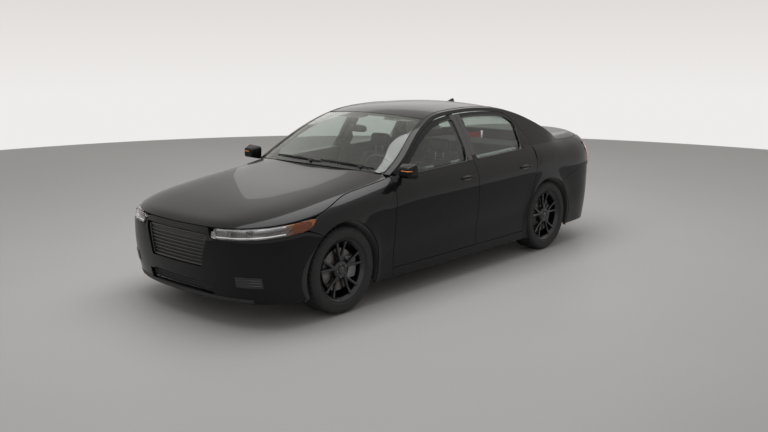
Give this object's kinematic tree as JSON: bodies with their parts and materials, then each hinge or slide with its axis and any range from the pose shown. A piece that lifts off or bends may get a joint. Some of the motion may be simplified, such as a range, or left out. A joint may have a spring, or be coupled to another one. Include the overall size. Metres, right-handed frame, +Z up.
{
  "type": "sedan car",
  "caption": "Dark four-door sedan with hinged doors, hood and boot lid, steered front wheels, turning wheels and a furnished cabin.",
  "frame": {"origin": "on the ground, under the middle of the car", "axes": "+Z up; +X to the car's left side; -Y towards the nose, so +Y runs from nose to tail"},
  "size_m": [2.06, 4.8574, 1.4665],
  "materials": {
    "body_paint": "gloss",
    "inner_frame": "satin",
    "underbody": "matt",
    "glass": "gloss",
    "black_trim": "matt",
    "headlamp_lens": "gloss",
    "tail_lamp_lens": "gloss",
    "engine_casting": "matt",
    "exhaust_steel": "satin",
    "cabin_trim": "matt",
    "seat_cover": "satin",
    "wheel_alloy": "satin",
    "tyre": "matt"
  },
  "bodies": {
    "body": {"floor_pan": "underbody", "sills": "body_paint", "door_pillars": "inner_frame", "rear_quarters": "body_paint", "roof_rails": "body_paint", "front_fenders": "body_paint", "roof_panel": "body_paint", "windscreen": "glass", "rear_window": "glass", "front_bumper": "body_paint", "rear_bumper": "body_paint", "grille": "black_trim", "cowl_panel": "black_trim", "rear_deck": "body_paint", "headlamps": "headlamp_lens", "tail_lamps": "tail_lamp_lens", "bulkheads": "inner_frame", "wheel_liners": "black_trim", "front_subframe": "underbody", "engine_block": "engine_casting", "rear_axle": "underbody", "exhaust": "exhaust_steel", "dashboard": "cabin_trim", "front_seats": "seat_cover", "rear_seat": "seat_cover"},
    "hood": {"hood": "body_paint"},
    "boot_lid": {"boot_lid": "body_paint", "plate_bracket": "black_trim"},
    "front_door_left": {"front_door_left": "body_paint", "front_door_glass_left": "glass", "door_mirror_left": "body_paint"},
    "rear_door_left": {"rear_door_left": "body_paint", "rear_door_glass_left": "glass"},
    "steering_knuckle_left": {"steering_knuckle_left": "underbody"},
    "front_wheel_left": {"front_rim_left": "wheel_alloy", "front_tyre_left": "tyre"},
    "rear_wheel_left": {"rear_rim_left": "wheel_alloy", "rear_tyre_left": "tyre"},
    "front_door_right": {"front_door_right": "body_paint", "front_door_glass_right": "glass", "door_mirror_right": "body_paint"},
    "rear_door_right": {"rear_door_right": "body_paint", "rear_door_glass_right": "glass"},
    "steering_knuckle_right": {"steering_knuckle_right": "underbody"},
    "front_wheel_right": {"front_rim_right": "wheel_alloy", "front_tyre_right": "tyre"},
    "rear_wheel_right": {"rear_rim_right": "wheel_alloy", "rear_tyre_right": "tyre"},
    "steering_wheel": {"steering_wheel": "cabin_trim"}
  },
  "joints": [
    {"name": "front_door_left_hinge", "type": "hinge", "parent": "body", "child": "front_door_left", "pos_m": [0.922, -0.96, 0.6], "axis": [0, 0, -1], "range_deg": [0, 65]},
    {"name": "rear_door_left_hinge", "type": "hinge", "parent": "body", "child": "rear_door_left", "pos_m": [0.922, 0.142, 0.6], "axis": [0, 0, -1], "range_deg": [0, 65]},
    {"name": "steering_left", "type": "hinge", "parent": "body", "child": "steering_knuckle_left", "pos_m": [0.785, -1.55, 0.338], "axis": [0, 0, 1], "range_deg": [-34, 34]},
    {"name": "front_wheel_left_spin", "type": "hinge", "parent": "steering_knuckle_left", "child": "front_wheel_left", "pos_m": [0.795, -1.55, 0.338], "axis": [1, 0, 0], "continuous": true},
    {"name": "rear_wheel_left_spin", "type": "hinge", "parent": "body", "child": "rear_wheel_left", "pos_m": [0.795, 1.3, 0.338], "axis": [1, 0, 0], "continuous": true},
    {"name": "front_door_right_hinge", "type": "hinge", "parent": "body", "child": "front_door_right", "pos_m": [-0.922, -0.96, 0.6], "axis": [0, 0, 1], "range_deg": [0, 65]},
    {"name": "rear_door_right_hinge", "type": "hinge", "parent": "body", "child": "rear_door_right", "pos_m": [-0.922, 0.142, 0.6], "axis": [0, 0, 1], "range_deg": [0, 65]},
    {"name": "steering_right", "type": "hinge", "parent": "body", "child": "steering_knuckle_right", "pos_m": [-0.785, -1.55, 0.338], "axis": [0, 0, 1], "range_deg": [-34, 34]},
    {"name": "front_wheel_right_spin", "type": "hinge", "parent": "steering_knuckle_right", "child": "front_wheel_right", "pos_m": [-0.795, -1.55, 0.338], "axis": [1, 0, 0], "continuous": true},
    {"name": "rear_wheel_right_spin", "type": "hinge", "parent": "body", "child": "rear_wheel_right", "pos_m": [-0.795, 1.3, 0.338], "axis": [1, 0, 0], "continuous": true},
    {"name": "hood_hinge", "type": "hinge", "parent": "body", "child": "hood", "pos_m": [0, -0.935, 0.957], "axis": [-1, 0, 0], "range_deg": [0, 55]},
    {"name": "boot_lid_hinge", "type": "hinge", "parent": "body", "child": "boot_lid", "pos_m": [0, 1.657, 1.058], "axis": [1, 0, 0], "range_deg": [0, 65]},
    {"name": "steering_wheel_turn", "type": "hinge", "parent": "body", "child": "steering_wheel", "pos_m": [0.37, -0.5, 0.9], "axis": [0, 0.9135, 0.4067], "range_deg": [-510, 510]}
  ],
  "couplings": [
    {"joint": "steering_right", "follows": "steering_left", "ratio": 1},
    {"joint": "steering_wheel_turn", "follows": "steering_left", "ratio": 15}
  ]
}
